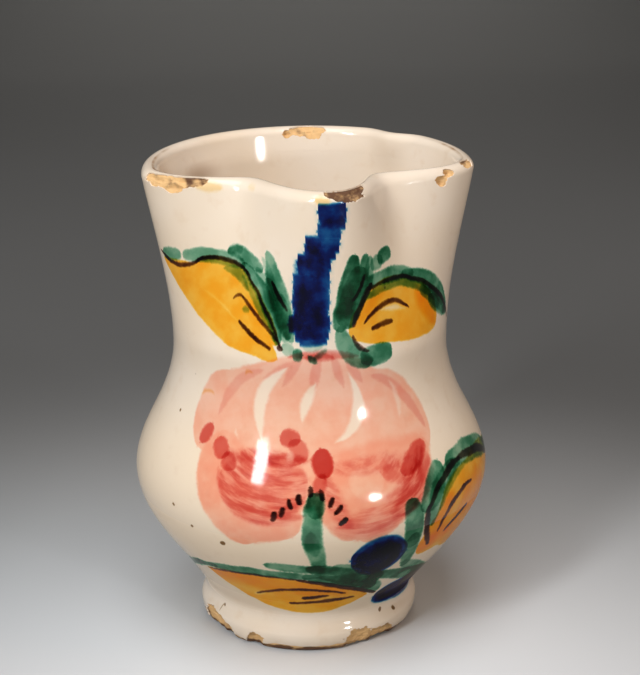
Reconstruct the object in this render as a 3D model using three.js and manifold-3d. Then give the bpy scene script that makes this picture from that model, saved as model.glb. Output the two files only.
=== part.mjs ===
// A hand-thrown, tin-glazed jug with a pinched trefoil mouth and a strap handle.
// Millimetres, +Z up. The jug's axis is Z and it stands on z = 0.
// The spout points to -Y and the handle to +Y.
import * as THREE from "three";
import { mergeVertices } from "three/addons/utils/BufferGeometryUtils.js";
import Module from "manifold-3d";

// Outside of the jug, over the glaze: heights above the floor, radii, and how fast the wall flares
const JUG_HEIGHT = 179;
const RIM_RADIUS = 61.3;
const RIM_FLARE = 0.17;
const WAIST_HEIGHT = 112;
const WAIST_RADIUS = 51.1;
const SHOULDER_HEIGHT = 84;
const SHOULDER_RADIUS = 59.6;
const SHOULDER_FLARE = -0.52;
const BELLY_HEIGHT = 62.5;
const BELLY_RADIUS = 66.8;
const GROOVE_RADIUS = 39.7;
const GROOVE_FLARE = 0.62;
const FOOT_HEIGHT = 15;
const FOOT_RADIUS = 41.8;
const FOOT_BULGE_HEIGHT = 7;
const FOOT_BASE_RADIUS = 38.8;

// Trefoil mouth: degrees from the spout side, and how far each place is pressed in at the rim
const PINCH_ANGLE = 42;
const PINCH_END_ANGLE = 87;
const PINCH_DEPTH = 25;
const SPOUT_ANGLE = 5;
const SPOUT_DEPTH = 10.8;
const PINCH_START_HEIGHT = 118;
const PINCH_RISE = 1.2;
const DENT_ANGLE = 138;
const DENT_HALF_WIDTH = 13;
const DENT_DEPTH = 3;
const DENT_START_HEIGHT = 160;

// Wall, floor and the layers of the wall
const WALL = 6.6;
const FLOOR_HEIGHT = 10.5;
const FLOOR_FLAT_RADIUS = 12;
const FLOOR_CURVE_HEIGHT = 26;
const GLAZE = 0.6;
const SLIP = 0.8;
const GAP = 0.3;
const LIP_OVERLAP = 9;

// Floor disc and the step of the foot ring that carries it
const SEAT_RADIUS = 25;
const SEAT_HEIGHT = 5;
const BASE_RADIUS = 29;

// Strap handle
const HANDLE_DROP_FROM_RIM = 18;
const HANDLE_TAIL_HEIGHT = 78;
const HANDLE_REACH = 30;
const HANDLE_WIDTH = 24.6;
const HANDLE_THICKNESS = 7.6;
const HANDLE_BITE = 5;

// Fineness
const SIDES = 40;
const HANDLE_STEPS = 16;
const HANDLE_SIDES = 12;

const SKIN = GLAZE + GAP;
const HALF_SEAM = SLIP / 2 + GAP;
const LIP_RADIUS = WALL / 2;
const HANDLE_TOP = JUG_HEIGHT - HANDLE_DROP_FROM_RIM;
const { smoothstep, lerp } = THREE.MathUtils;

const wasm = await Module();
wasm.setup();

// Profile of the outside: cubic curves through the places where the wall turns
const TURNS = [
  { z: FOOT_HEIGHT, r: GROOVE_RADIUS, flare: GROOVE_FLARE },
  { z: BELLY_HEIGHT, r: BELLY_RADIUS, flare: 0 },
  { z: SHOULDER_HEIGHT, r: SHOULDER_RADIUS, flare: SHOULDER_FLARE },
  { z: WAIST_HEIGHT, r: WAIST_RADIUS, flare: 0 },
  { z: JUG_HEIGHT, r: RIM_RADIUS, flare: RIM_FLARE },
];

function radiusAt(z) {
  let i = 0;
  while (i < TURNS.length - 2 && z > TURNS[i + 1].z) i += 1;
  const [a, b] = [TURNS[i], TURNS[i + 1]];
  const h = b.z - a.z;
  const t = (z - a.z) / h;
  const start = (1 + 2 * t) * (1 - t) ** 2;
  const leave = t * (1 - t) ** 2;
  const end = t * t * (3 - 2 * t);
  const arrive = t * t * (t - 1);
  return start * a.r + leave * h * a.flare + end * b.r + arrive * h * b.flare;
}

function flareAt(z) {
  return (radiusAt(z + 0.1) - radiusAt(z - 0.1)) / 0.2;
}

function innerRadiusAt(z) {
  return radiusAt(z) - WALL * Math.hypot(1, flareAt(z));
}

function heights(from, to, count) {
  return Array.from({ length: count }, (_, i) => lerp(from, to, i / count));
}

// How far the wall is pressed in towards the axis, by angle from the spout side and by height
function pressedIn(angle, z) {
  const side = Math.abs(angle);
  let depth = PINCH_DEPTH * (1 - smoothstep(side, PINCH_ANGLE, PINCH_END_ANGLE));
  if (side < PINCH_ANGLE) {
    const pinch = angle < SPOUT_ANGLE ? -PINCH_ANGLE : PINCH_ANGLE;
    const share = smoothstep(Math.abs(angle - pinch), 0, Math.abs(SPOUT_ANGLE - pinch));
    depth = lerp(PINCH_DEPTH, SPOUT_DEPTH, share);
  }
  const rise = Math.max(z - PINCH_START_HEIGHT, 0) / (JUG_HEIGHT - PINCH_START_HEIGHT);
  const dent = DENT_DEPTH * (1 - smoothstep(Math.abs(angle - DENT_ANGLE), 0, DENT_HALF_WIDTH));
  return depth * rise ** PINCH_RISE + dent * smoothstep(z, DENT_START_HEIGHT, JUG_HEIGHT);
}

// Glazed surface of half the jug, from the foot's lower edge over the lip to the middle of the floor
function skinLine() {
  const line = [];
  for (let i = 0; i < 3; i += 1) {
    const a = (i / 3) * (Math.PI / 2);
    const r = FOOT_BASE_RADIUS + (FOOT_RADIUS - FOOT_BASE_RADIUS) * Math.sin(a);
    line.push([r, FOOT_BULGE_HEIGHT * (1 - Math.cos(a))]);
  }
  for (let i = 0; i < 3; i += 1) {
    const a = (i / 3) * (Math.PI / 2);
    const z = FOOT_BULGE_HEIGHT + (FOOT_HEIGHT - FOOT_BULGE_HEIGHT) * Math.sin(a);
    line.push([GROOVE_RADIUS + (FOOT_RADIUS - GROOVE_RADIUS) * Math.cos(a), z]);
  }
  const lipStart = JUG_HEIGHT - LIP_RADIUS;
  const up = [
    ...heights(FOOT_HEIGHT, BELLY_HEIGHT, 5),
    ...heights(BELLY_HEIGHT, WAIST_HEIGHT, 5),
    ...heights(WAIST_HEIGHT, lipStart, 6),
  ];
  up.forEach((z) => line.push([radiusAt(z), z]));
  const lipOuter = radiusAt(lipStart);
  const lipInner = innerRadiusAt(lipStart);
  const lipTop = line.length + 2;
  for (let i = 0; i <= 4; i += 1) {
    const a = (i / 4) * Math.PI;
    const r = lerp(lipInner, lipOuter, (1 + Math.cos(a)) / 2);
    line.push([r, lipStart + LIP_RADIUS * Math.sin(a)]);
  }
  const overlap = JUG_HEIGHT - LIP_OVERLAP;
  const coatEnd = line.length;
  line.push([innerRadiusAt(overlap), overlap]);
  line.push([innerRadiusAt(overlap - GAP), overlap - GAP]);
  const down = [
    ...heights(overlap - GAP, WAIST_HEIGHT, 5).slice(1),
    ...heights(WAIST_HEIGHT, BELLY_HEIGHT, 4),
    ...heights(BELLY_HEIGHT, FLOOR_CURVE_HEIGHT, 3),
  ];
  down.forEach((z) => line.push([innerRadiusAt(z), z]));
  const wallFoot = innerRadiusAt(FLOOR_CURVE_HEIGHT);
  const rise = FLOOR_CURVE_HEIGHT - FLOOR_HEIGHT;
  const corner = wallFoot - rise * flareAt(FLOOR_CURVE_HEIGHT);
  for (let i = 0; i <= 4; i += 1) {
    const t = i / 4;
    const r = (1 - t) ** 2 * wallFoot + 2 * t * (1 - t) * corner + t * t * FLOOR_FLAT_RADIUS;
    line.push([r, FLOOR_HEIGHT + (1 - t) ** 2 * rise]);
  }
  line.push([0, FLOOR_HEIGHT]);
  return { line, lipTop, coatEnd };
}

const { line: roundLine, lipTop, coatEnd } = skinLine();

// That surface on the side of the jug at an angle, moved into the wall by a depth
function layerLine(angle, depth) {
  const line = roundLine.map(([r, z]) => new THREE.Vector2(r && r - pressedIn(angle, z), z));
  return line.map((point, i) => {
    const before = line[Math.max(i - 1, 0)];
    const after = line[Math.min(i + 1, line.length - 1)];
    const along = after.clone().sub(before).normalize();
    const moved = new THREE.Vector2(point.x - depth * along.y, point.y + depth * along.x);
    if (point.x === 0) moved.x = 0;
    return moved;
  });
}

// Part of a line that lies above a height, with a fresh point where it crosses that height
function above(line, z) {
  const kept = [];
  line.forEach((point, i) => {
    if (i > 0 && point.y >= z !== line[i - 1].y >= z) {
      const last = line[i - 1];
      kept.push(last.clone().lerp(point, (z - last.y) / (point.y - last.y)));
    }
    if (point.y >= z) kept.push(point);
  });
  return kept;
}

function below(line, z) {
  const flipped = line.map((point) => new THREE.Vector2(point.x, -point.y));
  return above(flipped, -z).map((point) => new THREE.Vector2(point.x, -point.y));
}

// A closed outline carried round the jug's axis; the outline may change with the angle
function turned(outlineAt) {
  const rings = [];
  for (let side = 0; side < SIDES; side += 1) {
    rings.push(outlineAt((360 * side) / SIDES - 180));
  }
  const count = rings[0].length;
  const places = [];
  rings.forEach((outline, side) => {
    const turn = (2 * Math.PI * side) / SIDES - Math.PI;
    outline.forEach((p) => places.push(p.x * Math.sin(turn), -p.x * Math.cos(turn), p.y));
  });
  const corners = [];
  for (let side = 0; side < SIDES; side += 1) {
    const here = side * count;
    const next = ((side + 1) % SIDES) * count;
    for (let i = 0; i < count; i += 1) {
      const j = (i + 1) % count;
      const rising = rings[side][j].y > rings[side][i].y;
      if (rising) corners.push(here + i, next + i, next + j, here + i, next + j, here + j);
      else corners.push(here + i, next + i, here + j, next + i, next + j, here + j);
    }
  }
  const shape = new THREE.BufferGeometry();
  shape.setAttribute("position", new THREE.Float32BufferAttribute(places, 3));
  shape.setIndex(corners);
  shape.computeVertexNormals();
  return shape;
}

function toSolid(shape) {
  const bare = shape.clone();
  bare.deleteAttribute("normal");
  bare.deleteAttribute("uv");
  const merged = mergeVertices(bare, 1e-3);
  const corners = Array.from(merged.index.array);
  const kept = [];
  for (let i = 0; i < corners.length; i += 3) {
    const [a, b, c] = corners.slice(i, i + 3);
    if (a !== b && b !== c && c !== a) kept.push(a, b, c);
  }
  const vertProperties = new Float32Array(merged.attributes.position.array);
  const triVerts = new Uint32Array(kept);
  return new wasm.Manifold(new wasm.Mesh({ numProp: 3, vertProperties, triVerts }));
}

function toShape(solid) {
  const mesh = solid.getMesh();
  const shape = new THREE.BufferGeometry();
  shape.setAttribute("position", new THREE.BufferAttribute(mesh.vertProperties, 3));
  shape.setIndex(new THREE.BufferAttribute(mesh.triVerts, 1));
  shape.computeVertexNormals();
  return shape;
}

// Strap handle: an oval section swept from under the rim down to the shoulder
function handleSweep(extra) {
  const top = HANDLE_TOP;
  const tail = HANDLE_TAIL_HEIGHT;
  const drop = top - tail;
  const topWall = radiusAt(top);
  const tailWall = radiusAt(tail);
  const back = topWall + HANDLE_REACH;
  const path = new THREE.CatmullRomCurve3([
    new THREE.Vector3(0, topWall - HANDLE_BITE, top - 1),
    new THREE.Vector3(0, topWall + HANDLE_REACH * 0.45, top + 2),
    new THREE.Vector3(0, back - HANDLE_REACH * 0.1, top - drop * 0.14),
    new THREE.Vector3(0, back, top - drop * 0.38),
    new THREE.Vector3(0, back - HANDLE_REACH * 0.17, top - drop * 0.68),
    new THREE.Vector3(0, lerp(tailWall, back, 0.45), tail + drop * 0.1),
    new THREE.Vector3(0, tailWall - HANDLE_BITE, tail - HANDLE_BITE * 0.7),
  ]);
  const section = new THREE.Shape();
  section.absellipse(0, 0, HANDLE_WIDTH / 2 + extra, HANDLE_THICKNESS / 2 + extra, 0, 2 * Math.PI);
  const options = {
    steps: HANDLE_STEPS,
    curveSegments: HANDLE_SIDES / 2,
    bevelEnabled: false,
    extrudePath: path,
  };
  return toSolid(new THREE.ExtrudeGeometry(section, options));
}

const footCut = FOOT_HEIGHT - 2 * GAP - 2 * HALF_SEAM;
const footSeam = FOOT_HEIGHT - 2 * GAP - HALF_SEAM;
const bellyCut = FOOT_HEIGHT - 2 * GAP;

// The jug's outside as a filled body, moved out from the clay, to fit the handle against
function filledBody(out) {
  const outline = (angle) => {
    const line = layerLine(angle, SKIN - out).slice(4, lipTop);
    const bottom = new THREE.Vector2(0, line[0].y);
    const top = new THREE.Vector2(0, line[line.length - 1].y);
    return [bottom, ...line, top];
  };
  return toSolid(turned(outline));
}

function ring(inner, outer, low, high) {
  return [
    new THREE.Vector2(inner, low),
    new THREE.Vector2(outer, low),
    new THREE.Vector2(outer, high),
    new THREE.Vector2(inner, high),
  ];
}

function baseDisc(angle) {
  const edge = BASE_RADIUS - GAP;
  const clay = below(layerLine(angle, SKIN).slice(lipTop), BELLY_HEIGHT);
  const first = clay.findIndex((p) => p.x < edge);
  const share = (edge - clay[first].x) / (clay[first - 1].x - clay[first].x);
  const edgeHeight = lerp(clay[first].y, clay[first - 1].y, share);
  return [
    new THREE.Vector2(0, 0),
    new THREE.Vector2(SEAT_RADIUS - GAP, 0),
    new THREE.Vector2(SEAT_RADIUS - GAP, SEAT_HEIGHT + GAP),
    new THREE.Vector2(edge, SEAT_HEIGHT + GAP),
    new THREE.Vector2(edge, Math.min(edgeHeight, footCut)),
    ...clay.slice(first).filter((p) => p.y < footCut),
  ];
}

function footRing(angle) {
  const side = below(layerLine(angle, SKIN).slice(1, 8), footCut);
  return [
    new THREE.Vector2(SEAT_RADIUS, 0),
    new THREE.Vector2(FOOT_BASE_RADIUS - SKIN, 0),
    ...side,
    new THREE.Vector2(BASE_RADIUS, footCut),
    new THREE.Vector2(BASE_RADIUS, SEAT_HEIGHT),
    new THREE.Vector2(SEAT_RADIUS, SEAT_HEIGHT),
  ];
}

function footSlip() {
  const low = footSeam - SLIP / 2;
  return ring(BASE_RADIUS + SKIN, GROOVE_RADIUS - SKIN - 2 * GAP, low, low + SLIP);
}

function bellyWall(angle) {
  return below(above(layerLine(angle, SKIN).slice(1), bellyCut), WAIST_HEIGHT - HALF_SEAM);
}

function waistSlip() {
  const outer = WAIST_RADIUS - SKIN - GAP;
  const inner = WAIST_RADIUS - WALL + SKIN + GAP;
  return ring(inner, outer, WAIST_HEIGHT - SLIP / 2, WAIST_HEIGHT + SLIP / 2);
}

function neckWall(angle) {
  return above(layerLine(angle, SKIN).slice(1), WAIST_HEIGHT + HALF_SEAM);
}

function coat(from, to) {
  return (angle) => {
    const outside = layerLine(angle, 0).slice(from, to);
    const inside = layerLine(angle, GLAZE).slice(from, to);
    return [...outside, ...inside.reverse()];
  };
}

const strap = handleSweep(0);
const slipLayer = filledBody(GAP + SLIP).subtract(filledBody(GAP));
const slipPads = strap.intersect(slipLayer);
const middle = (HANDLE_TOP + HANDLE_TAIL_HEIGHT) / 2;
const handle = strap.subtract(filledBody(GAP + SLIP + GAP));
const handleCoat = handleSweep(SKIN).subtract(handleSweep(GAP)).subtract(filledBody(SKIN + GAP));
const outsideCoat = toSolid(turned(coat(1, coatEnd + 1))).subtract(handleSweep(GAP));

const shapes = {
  base_disc: ["clay", turned(baseDisc)],
  foot_ring: ["clay", turned(footRing)],
  foot_slip: ["slip", turned(footSlip)],
  belly_wall: ["clay", turned(bellyWall)],
  waist_slip: ["slip", turned(waistSlip)],
  neck_wall: ["clay", turned(neckWall)],
  handle_strap: ["clay", toShape(handle)],
  handle_top_slip: ["slip", toShape(slipPads.trimByPlane([0, 0, 1], middle))],
  handle_tail_slip: ["slip", toShape(slipPads.trimByPlane([0, 0, -1], -middle))],
  outside_glaze: ["glaze", toShape(outsideCoat)],
  inside_glaze: ["glaze", turned(coat(coatEnd + 1, roundLine.length))],
  handle_glaze: ["glaze", toShape(handleCoat)],
};

const looks = {
  clay: { color: 0xc79a62, roughness: 0.85, metalness: 0 },
  slip: { color: 0xb88a56, roughness: 0.9, metalness: 0 },
  glaze: { color: 0xefe9da, roughness: 0.15, metalness: 0 },
};

const jug = new THREE.Group();
jug.name = "ceramic_jug";
for (const [name, [look, shape]] of Object.entries(shapes)) {
  const piece = new THREE.Mesh(shape, new THREE.MeshStandardMaterial(looks[look]));
  piece.name = name;
  jug.add(piece);
}

export default jug;
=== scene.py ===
# %% [markdown]
# # A painted jug with a pinched mouth
# This lesson dresses a ready CAD model of a hand-thrown, tin-glazed jug.
# The CAD model is the frame: it fixes every size, and nothing here may grow past it.
# We load it first.

import math

import bpy
import numpy as np
from mathutils import Matrix, Vector, noise


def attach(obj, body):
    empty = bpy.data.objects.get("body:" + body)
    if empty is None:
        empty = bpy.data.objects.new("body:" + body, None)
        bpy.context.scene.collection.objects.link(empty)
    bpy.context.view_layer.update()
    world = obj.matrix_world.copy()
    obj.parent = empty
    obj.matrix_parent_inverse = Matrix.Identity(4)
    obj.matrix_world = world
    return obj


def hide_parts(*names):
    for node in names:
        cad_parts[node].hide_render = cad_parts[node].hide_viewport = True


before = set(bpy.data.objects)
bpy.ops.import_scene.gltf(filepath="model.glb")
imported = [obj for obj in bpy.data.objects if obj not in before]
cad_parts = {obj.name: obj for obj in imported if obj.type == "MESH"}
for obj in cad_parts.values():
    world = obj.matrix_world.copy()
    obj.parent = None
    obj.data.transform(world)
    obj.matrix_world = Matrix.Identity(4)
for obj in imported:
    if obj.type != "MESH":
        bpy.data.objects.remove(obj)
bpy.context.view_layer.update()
MM = 0.001
scene = bpy.context.scene
scene.view_settings.view_transform = "Standard"
print("CAD nodes:", sorted(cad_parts))

# %% [markdown]
# ## The camera
# The photograph looks slightly down on the jug, from a little left of the spout.
# A long lens keeps the sides nearly parallel, as in a museum photograph.

# %% Camera
bpy.ops.object.camera_add()
camera = bpy.context.object
camera.name = "photo_camera"
camera.data.lens = 101.33
camera.data.sensor_width = 36
camera.data.clip_start = 0.01
turn = Matrix.Rotation(math.radians(-6.32), 4, "Z")
tilt = Matrix.Rotation(math.radians(71.15), 4, "X")
roll = Matrix.Rotation(math.radians(-0.5), 4, "Z")
place = Matrix.Translation((-0.0706, -0.6719, 0.3413))
camera.matrix_world = place @ turn @ tilt @ roll
scene.camera = camera
print("camera at", [round(v, 3) for v in camera.matrix_world.translation])

# %% [markdown]
# ## The turning line
# A thrown jug is a line turned round an axis: foot, groove, belly, shoulder, waist and rim.
# We could eyeball that line, but the CAD part already has it, so the same few turning points
# are written here: height, radius and how fast the wall flares there, in millimetres.
# A cubic curve joins them, and a second line one wall thickness further in is the inside.

# %% Profile
JUG_HEIGHT = 179.0
WALL = 6.6
LIP_RADIUS = WALL / 2
LIP_START = JUG_HEIGHT - LIP_RADIUS
FOOT_TOP = 15.0
BELLY_HEIGHT = 62.5
WAIST_HEIGHT = 112.0
COAT_END = 170.0
TURNS = (
    (FOOT_TOP, 39.7, 0.62),
    (BELLY_HEIGHT, 66.8, 0.0),
    (84.0, 59.6, -0.52),
    (WAIST_HEIGHT, 51.1, 0.0),
    (JUG_HEIGHT, 61.3, 0.17),
)
FOOT_EDGE, FOOT_BULGE, FOOT_WIDEST_AT = 38.8, 3.0, 7.0
FOOT_NECK, FOOT_STEP, FOOT_NECK_AT = 40.0, 1.8, 13.0
GROOVE_REACH, GROOVE_FILL = 1.2, 0.3


def wall_radius(z):
    i = 0
    while i < len(TURNS) - 2 and z > TURNS[i + 1][0]:
        i += 1
    (z0, r0, flare0), (z1, r1, flare1) = TURNS[i], TURNS[i + 1]
    h = z1 - z0
    t = (z - z0) / h
    level = (1 + 2 * t) * (1 - t) ** 2 * r0 + t * t * (3 - 2 * t) * r1
    return level + t * (1 - t) ** 2 * h * flare0 + t * t * (t - 1) * h * flare1


def ease(value, start, end):
    t = np.clip((value - start) / (end - start), 0, 1)
    return t * t * (3 - 2 * t)


def foot_radius(z):
    """A round lower edge, and above it a soft step in towards the groove."""
    if z < FOOT_WIDEST_AT:
        below = (FOOT_WIDEST_AT - z) / FOOT_WIDEST_AT
        return FOOT_EDGE + FOOT_BULGE * math.sqrt(1 - below**2)
    return FOOT_NECK + FOOT_STEP * (1 - ease(z, FOOT_WIDEST_AT, FOOT_NECK_AT))


def body_radius(z):
    """Foot and wall, with the soft fillet of glaze that pooled in the groove between them."""
    foot, wall = foot_radius(z), wall_radius(z)
    near = max(0, 1 - abs(foot - wall) / GROOVE_REACH)
    return max(foot, wall) + GROOVE_FILL * near**2


def wall_flare(z):
    return (wall_radius(z + 0.1) - wall_radius(z - 0.1)) / 0.2


def inner_radius(z):
    return wall_radius(z) - WALL * math.hypot(1, wall_flare(z))


print("belly", wall_radius(BELLY_HEIGHT), "waist", wall_radius(WAIST_HEIGHT))

# %% [markdown]
# ## Pressing the mouth
# The potter pinched the wet rim with two fingers, so the mouth has three lobes.
# We keep that as one function of angle and height, and push finished rings in with it.
# Angles are degrees from the spout, positive towards the right hand of the photograph.
# The foot of the real jug also sits a touch to the left, as hand-made feet do.

# %% Pinch
SPOUT, SPOUT_DEPTH = 5.0, 10.8
PINCH, PINCH_DEPTH, PINCH_END = 42.0, 25.0, 87.0
PRESS_START, PRESS_LAW = 118.0, 1.2
DENT, DENT_DEPTH, DENT_HALF, DENT_START = 138.0, 3.0, 13.0, 160.0
FOOT_LEAN, LEAN_FULL, LEAN_END = -1.5, 10.0, 34.0


def pressed_in(angle, z):
    side = np.abs(angle)
    outer = PINCH_DEPTH * (1 - ease(side, PINCH, PINCH_END))
    pinch = np.where(angle < SPOUT, -PINCH, PINCH)
    share = ease(np.abs(angle - pinch), 0, np.abs(SPOUT - pinch))
    depth = np.where(side < PINCH, PINCH_DEPTH + (SPOUT_DEPTH - PINCH_DEPTH) * share, outer)
    rise = np.clip(z - PRESS_START, 0, None) / (JUG_HEIGHT - PRESS_START)
    dent = DENT_DEPTH * (1 - ease(np.abs(angle - DENT), 0, DENT_HALF))
    return depth * rise**PRESS_LAW + dent * ease(z, DENT_START, JUG_HEIGHT)


def vertex_places(piece):
    flat = np.empty(len(piece.data.vertices) * 3)
    piece.data.vertices.foreach_get("co", flat)
    return flat.reshape(-1, 3) / MM


def set_places(piece, places):
    piece.data.vertices.foreach_set("co", (places * MM).ravel())
    piece.data.update()


def angles_of(places):
    return np.degrees(np.arctan2(places[:, 0], -places[:, 1]))


def press_mouth(piece):
    places = vertex_places(piece)
    r = np.hypot(places[:, 0], places[:, 1])
    angle = angles_of(places)
    r = np.maximum(r - pressed_in(angle, places[:, 2]), 0)
    turn = np.radians(angle)
    lean = FOOT_LEAN * (1 - ease(places[:, 2], LEAN_FULL, LEAN_END))
    new = np.stack((r * np.sin(turn) + lean, -r * np.cos(turn), places[:, 2]), axis=1)
    set_places(piece, new)


print("pressed in at the rim:", pressed_in(np.array([-PINCH, SPOUT, PINCH]), JUG_HEIGHT))

# %% [markdown]
# ## A potter's wheel in Blender
# To throw a piece we start from a plane, merge it to one point, and extrude that point
# along the turning line. Spin then carries the line round the axis, as the wheel does.
# Spin leaves a seam and may turn the faces inwards, so doubles are merged
# and the normals are recalculated and tested before any wall gets its thickness.


# %% Wheel
def leave_edit():
    bpy.ops.object.mode_set(mode="OBJECT")


def pick(piece):
    if bpy.context.mode != "OBJECT":
        leave_edit()
    bpy.ops.object.select_all(action="DESELECT")
    piece.select_set(True)
    bpy.context.view_layer.objects.active = piece


def edit(piece, kind, action):
    pick(piece)
    bpy.ops.object.mode_set(mode="EDIT")
    bpy.ops.mesh.select_mode(type=kind)
    bpy.ops.mesh.select_all(action=action)


def extrude(step):
    bpy.ops.mesh.extrude_region_move(TRANSFORM_OT_translate={"value": step})


def throw(name, line, sides, closed=False):
    line = [(float(r), float(z)) for r, z in line]
    bpy.ops.mesh.primitive_plane_add(size=0.01)
    piece = bpy.context.object
    piece.name = piece.data.name = name
    edit(piece, "VERT", "SELECT")
    bpy.ops.mesh.merge(type="CENTER")
    bpy.ops.transform.translate(value=(0, -line[0][0] * MM, line[0][1] * MM))
    route = line[1:] + line[:1] if closed else line[1:]
    last = line[0]
    for point in route:
        extrude((0, (last[0] - point[0]) * MM, (point[1] - last[1]) * MM))
        last = point
    bpy.ops.mesh.select_all(action="SELECT")
    bpy.ops.mesh.spin(steps=sides, angle=2 * math.pi, center=(0, 0, 0), axis=(0, 0, 1))
    bpy.ops.mesh.select_all(action="SELECT")
    bpy.ops.mesh.remove_doubles(threshold=2e-6)
    bpy.ops.mesh.normals_make_consistent(inside=False)
    leave_edit()
    return piece


def turn_faces(piece, outwards=True):
    """The sum of these signed volumes is positive where the faces look outwards."""
    places = vertex_places(piece)
    volume = 0.0
    for face in piece.data.polygons:
        a, b, c = places[list(face.vertices[:3])]
        volume += float(np.dot(np.cross(b, c), a))
    if (volume > 0) != outwards:
        edit(piece, "FACE", "SELECT")
        bpy.ops.mesh.flip_normals()
        leave_edit()


def thicken(piece, thickness):
    pick(piece)
    solid = piece.modifiers.new("coat thickness", "SOLIDIFY")
    solid.thickness = thickness * MM
    solid.offset = -1
    solid.use_even_offset = True
    bpy.ops.object.modifier_apply(modifier=solid.name)


def smooth(piece, degrees=40):
    pick(piece)
    bpy.ops.object.shade_smooth_by_angle(angle=math.radians(degrees))


# %% [markdown]
# ## Chips
# Old tin glaze flakes off where the jug was knocked: along the lip, and round the foot.
# Each chip is an oval on the surface with a ragged edge.
# The same ovals open the glaze and dish the clay under it, so the two always line up.
# On the lip a place is an angle and a path over the edge: 0 on top, more on the outside.
# On the foot it is an angle and a height, and the chip runs on down to the wiped edge.
# A chip is: angle, half its width, path or height, half its height.

# %% Chip places
LIP_ZONE = 150.0
RAGGEDNESS = 0.34
LIP_CHIPS = (
    (-75.5, 6.2, 3.8, 2.8),
    (-70.2, 3.0, 5.8, 2.0),
    (-66.0, 6.4, 3.0, 2.3),
    (6.5, 5.6, 1.7, 2.5),
    (12.5, 6.0, 2.4, 3.3),
    (17.2, 3.2, 1.2, 2.2),
    (65.9, 2.0, 6.4, 1.8),
    (69.2, 1.7, 3.9, 1.7),
    (80.0, 3.6, 1.9, 2.3),
    (174.0, 6.6, -2.9, 3.0),
    (183.0, 1.6, -4.2, 1.6),
)
FOOT_CHIPS = (
    (-67.0, 10.5, 5.2, 3.6),
    (-56.5, 5.2, 3.7, 2.4),
    (-38.0, 4.8, 3.7, 2.5),
    (19.5, 8.5, 4.4, 3.6),
    (33.5, 9.5, 3.2, 2.7),
)


def lip_path(places):
    angle = angles_of(places)
    r = np.hypot(places[:, 0], places[:, 1]) + pressed_in(angle, places[:, 2])
    off = r - (wall_radius(LIP_START) + inner_radius(LIP_START)) / 2
    over = places[:, 2] - LIP_START
    around = LIP_RADIUS * (math.pi / 2 - np.arctan2(np.maximum(over, 0), off))
    return around + np.sign(off) * np.maximum(-over, 0)


def rough(places, coarse, fine, share):
    """Noise at two scales for each place."""
    spots = [Vector(p) for p in places]
    return np.array([noise.noise(p * coarse) + share * noise.noise(p * fine) for p in spots])


def chip_share(places):
    """How far inside a chip each place is: 1 in its middle, 0 at its edge, less outside."""
    angle = angles_of(places)
    share = np.full(len(places), -9.0)
    for chips, level, part in (
        (LIP_CHIPS, lip_path(places), places[:, 2] > LIP_ZONE),
        (FOOT_CHIPS, places[:, 2], places[:, 2] < FOOT_TOP),
    ):
        for middle, half, height, tall in chips:
            turn = (angle - middle + 180) % 360 - 180
            rise = level - height
            if chips is FOOT_CHIPS:
                rise = np.maximum(rise, 0)
            away = np.hypot(turn / half, rise / tall)
            share = np.where(part, np.maximum(share, 1 - away), share)
    near = share > -1.5
    share[near] += RAGGEDNESS * rough(places[near], 0.33, 1.1, 0.5)
    return share


print("chips:", len(LIP_CHIPS) + len(FOOT_CHIPS))

# %% [markdown]
# ## The outside glaze
# One coat of glass runs from just above the foot's edge, over the lip and a little way inside.
# It is thrown as a bare skin, pressed at the mouth, and cut finer where the chips go.
# Then the chipped faces are deleted, the torn edge is relaxed a little,
# and Solidify gives the coat its real half millimetre.

# %% Outside coat
WIPED_EDGE, GROOVE_END, NEAR_LIP = 1.7, 20.0, 166.0
OUTSIDE_COAT, INSIDE_COAT = 0.5, 0.4


def wall_rows(low, high, count, radius=wall_radius, inset=0.0):
    return [(radius(z) - inset, z) for z in np.linspace(low, high, count, endpoint=False)]


def lip_arc(count, inset=0.0):
    """Half a ring over the lip, from the outside to the inside."""
    outer, inner = wall_radius(LIP_START) - inset, inner_radius(LIP_START) + inset
    line = []
    for a in np.linspace(0, math.pi, count):
        share = (1 + math.cos(a)) / 2
        rise = (LIP_RADIUS - inset) * math.sin(a)
        line.append((inner + (outer - inner) * share, LIP_START + rise))
    return line


def outside_line():
    line = wall_rows(WIPED_EDGE, GROOVE_END, 34, body_radius)
    line += wall_rows(GROOVE_END, NEAR_LIP, 76) + wall_rows(NEAR_LIP, LIP_START, 12) + lip_arc(13)
    return line + [(inner_radius(z), z) for z in np.linspace(LIP_START, COAT_END, 7)[1:]]


def select_only(piece, kind, chosen):
    edit(piece, kind, "DESELECT")
    leave_edit()
    kinds = {"FACE": piece.data.polygons, "EDGE": piece.data.edges, "VERT": piece.data.vertices}
    kinds[kind].foreach_set("select", chosen)
    bpy.ops.object.mode_set(mode="EDIT")


def face_centres(piece):
    flat = np.empty(len(piece.data.polygons) * 3)
    piece.data.polygons.foreach_get("center", flat)
    return flat.reshape(-1, 3) / MM


def cut_finer(piece, cuts):
    select_only(piece, "FACE", chip_share(face_centres(piece)) > -0.35)
    bpy.ops.mesh.subdivide(number_cuts=cuts)
    leave_edit()


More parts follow.
